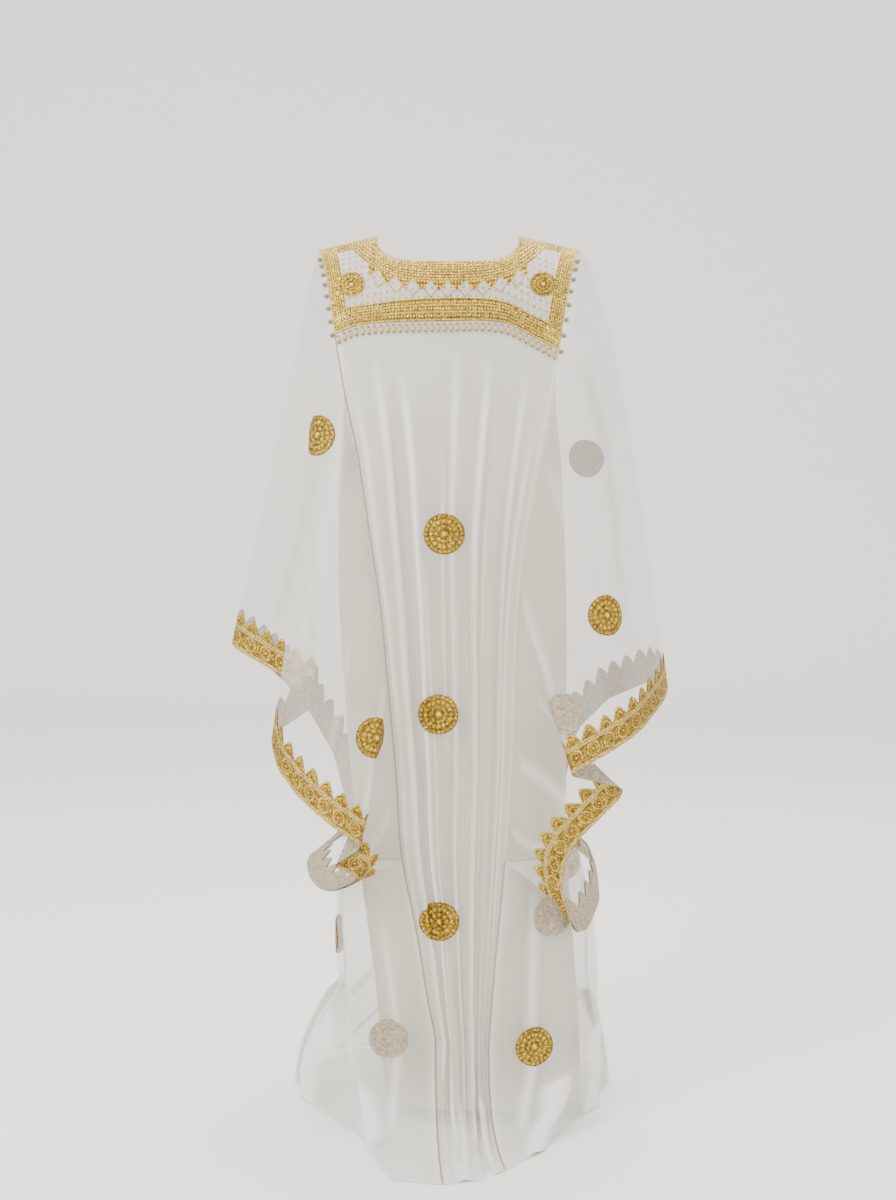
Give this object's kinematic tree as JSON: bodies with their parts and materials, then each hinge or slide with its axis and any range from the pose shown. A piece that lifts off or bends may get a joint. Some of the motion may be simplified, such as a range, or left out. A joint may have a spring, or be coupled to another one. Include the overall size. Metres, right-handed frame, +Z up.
{
  "type": "embroidered tulle dress",
  "caption": "Very wide full-length tulle dress with wing sleeves, gold embroidered yoke, scalloped cuffs and roundels, hung over a lining with its hem spread on the floor.",
  "frame": {"origin": "on the shoulder line, midway between the two ends of the neck opening", "axes": "+Z up, +Y towards the front of the dress, +X towards the wearer's right"},
  "size_m": [0.6838, 0.6452, 1.3711],
  "materials": {
    "tulle": "fine white tulle, soft and matt",
    "lining": "plain opaque off-white cloth",
    "net": "pale backed net with dense gold bands",
    "gold_embroidery": "antique gold metal thread with a soft glitter"
  },
  "bodies": {
    "root": {"body_back": "tulle", "body_front": "tulle", "side_left": "tulle", "side_right": "tulle", "yoke_back": "net", "yoke_front": "net", "neck_binding": "gold_embroidery", "sleeve_left": "tulle", "cuff_left": "gold_embroidery", "sleeve_right": "tulle", "cuff_right": "gold_embroidery", "drop_fringe_back": "gold_embroidery", "drop_fringe_front": "gold_embroidery", "lining_back": "lining", "lining_front": "lining", "roundel_back_upper": "gold_embroidery", "roundel_back_middle": "gold_embroidery", "roundel_back_lower": "gold_embroidery", "roundel_sleeve_left": "gold_embroidery", "roundel_sleeve_left_inner": "gold_embroidery", "roundel_sleeve_right": "gold_embroidery", "roundel_sleeve_right_front": "gold_embroidery", "roundel_sleeve_right_fold": "gold_embroidery", "roundel_sleeve_right_under": "gold_embroidery", "roundel_gore_left": "gold_embroidery", "roundel_gore_left_low": "gold_embroidery", "roundel_gore_right": "gold_embroidery", "roundel_gore_right_high": "gold_embroidery"}
  },
  "joints": []
}
